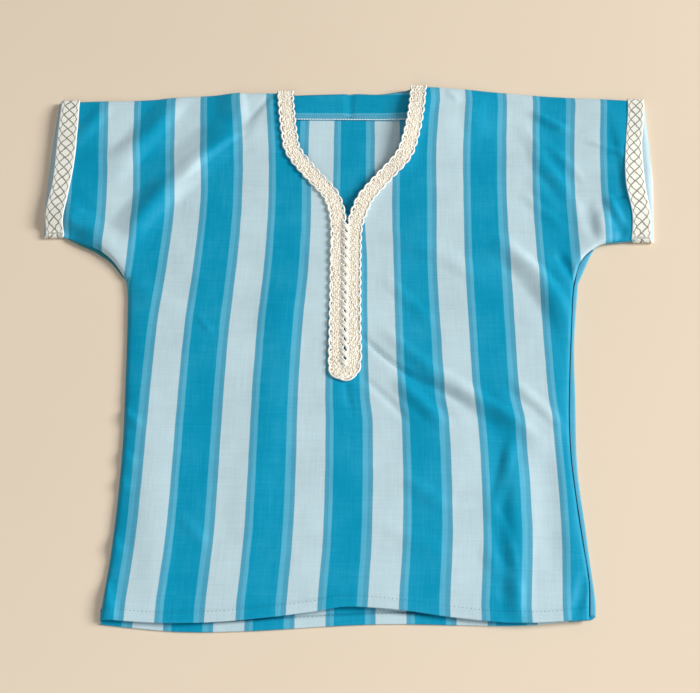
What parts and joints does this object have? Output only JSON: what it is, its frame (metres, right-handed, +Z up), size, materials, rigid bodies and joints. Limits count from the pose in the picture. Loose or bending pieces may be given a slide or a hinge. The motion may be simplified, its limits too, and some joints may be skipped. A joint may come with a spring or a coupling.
{
  "type": "gandoura",
  "caption": "A child's short-sleeved striped cotton tunic laid flat, with crochet braid around its V neck and placket and woven bands at its cuffs",
  "frame": {"origin": "bottom centre of the garment's bounding box, on the surface it lies on", "axes": "+X to the wearer's left, which is the right side as seen; +Y from hem to shoulders; +Z up from the surface, out of the front"},
  "size_m": [0.427, 0.4116, 0.0096],
  "materials": {
    "striped_cotton": "plain-woven striped cotton, slightly lustrous",
    "crochet_braid": "matte cream crochet braid",
    "woven_tape": "matte off-white woven tape with a lattice"
  },
  "bodies": {
    "root": {"back_panel": "striped_cotton", "front_panel": "striped_cotton", "back_neck_facing": "striped_cotton", "neck_braid": "crochet_braid", "cuff_band_left": "woven_tape", "cuff_band_right": "woven_tape"}
  },
  "joints": []
}
